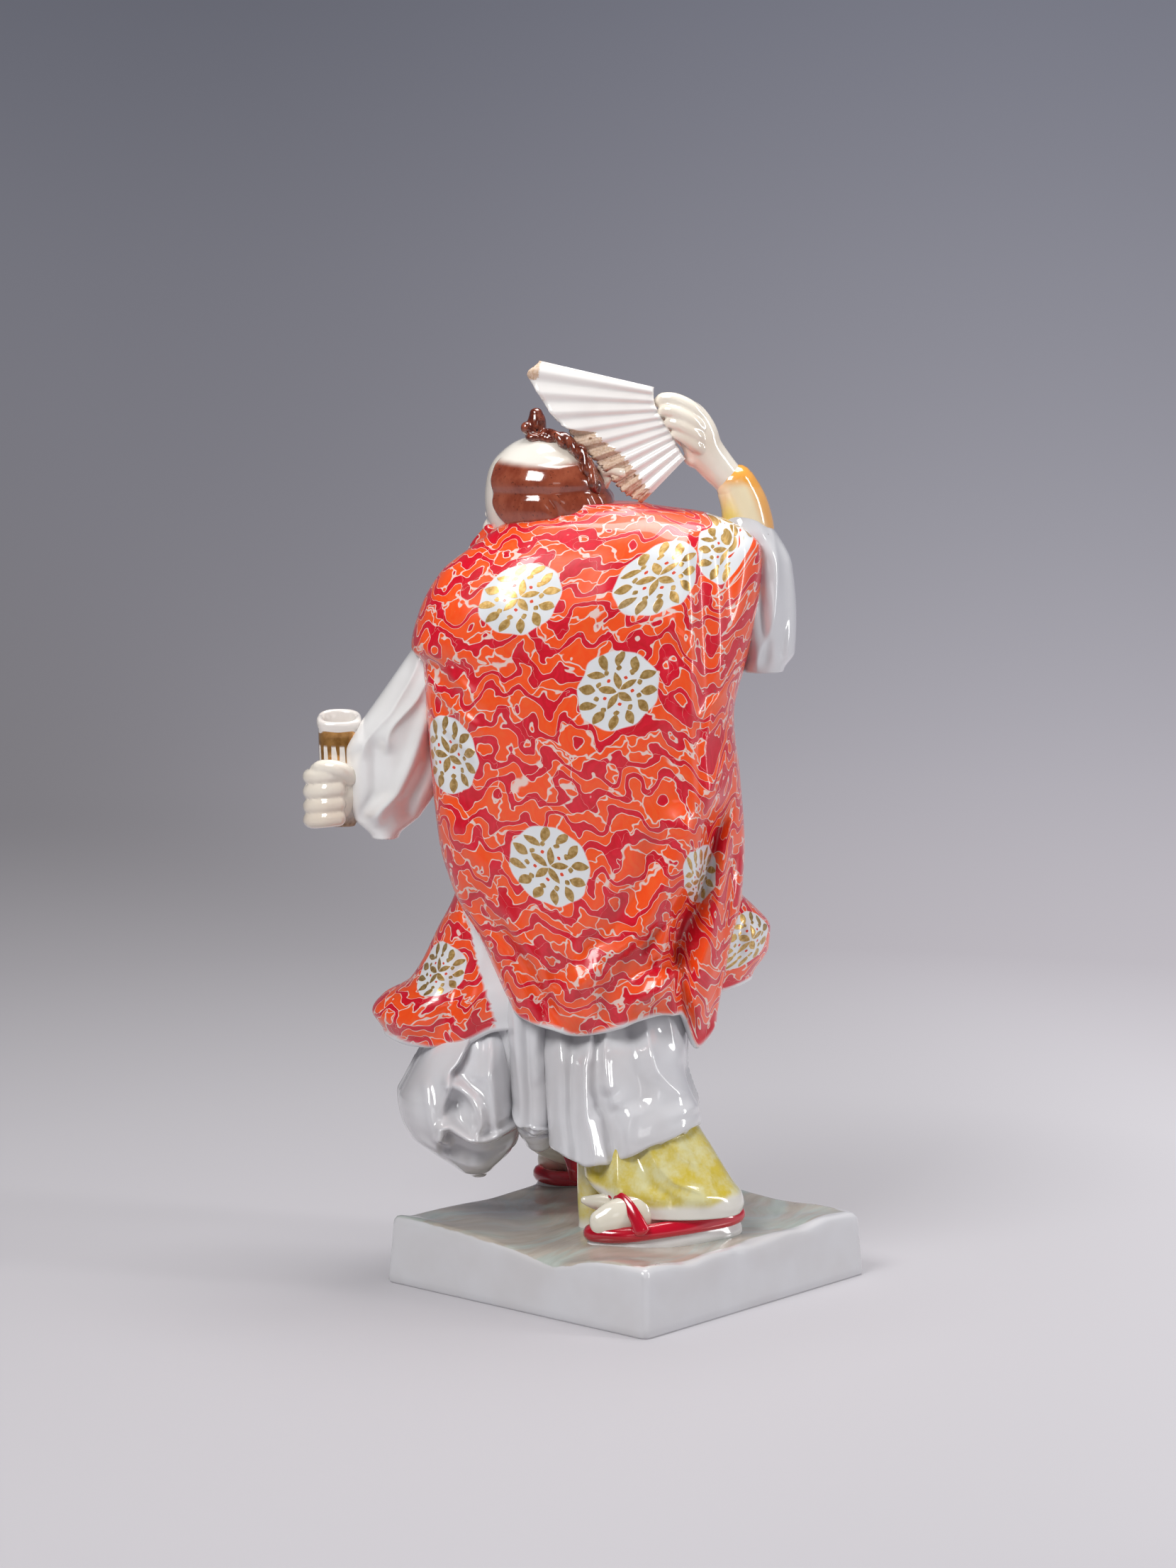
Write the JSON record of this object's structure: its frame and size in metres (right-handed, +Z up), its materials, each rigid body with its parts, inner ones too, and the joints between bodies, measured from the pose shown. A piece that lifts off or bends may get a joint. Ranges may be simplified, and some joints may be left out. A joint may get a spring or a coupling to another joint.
{
  "type": "actor figurine",
  "caption": "Glazed porcelain figure of a striding actor in a patterned mantle, fan raised over the head and a cup held low, fired in one with its square plinth.",
  "frame": {"origin": "middle of the plinth's flat underside", "axes": "+Z up, +X and +Y along the plinth's sides; the figure's back faces +X +Y"},
  "size_m": [0.1199, 0.1403, 0.2957],
  "materials": {
    "white_glaze": "glossy white glaze",
    "mantle_enamel": "glossy red and orange enamel with gold",
    "skin_glaze": "glossy cream glaze",
    "hair_glaze": "glossy brown glaze",
    "yellow_glaze": "glossy mottled yellow glaze",
    "sandal_enamel": "glossy crimson enamel",
    "plinth_glaze": "glossy grey-green and white glaze"
  },
  "bodies": {
    "root": {"actor_figurine": "white_glaze"}
  },
  "joints": []
}
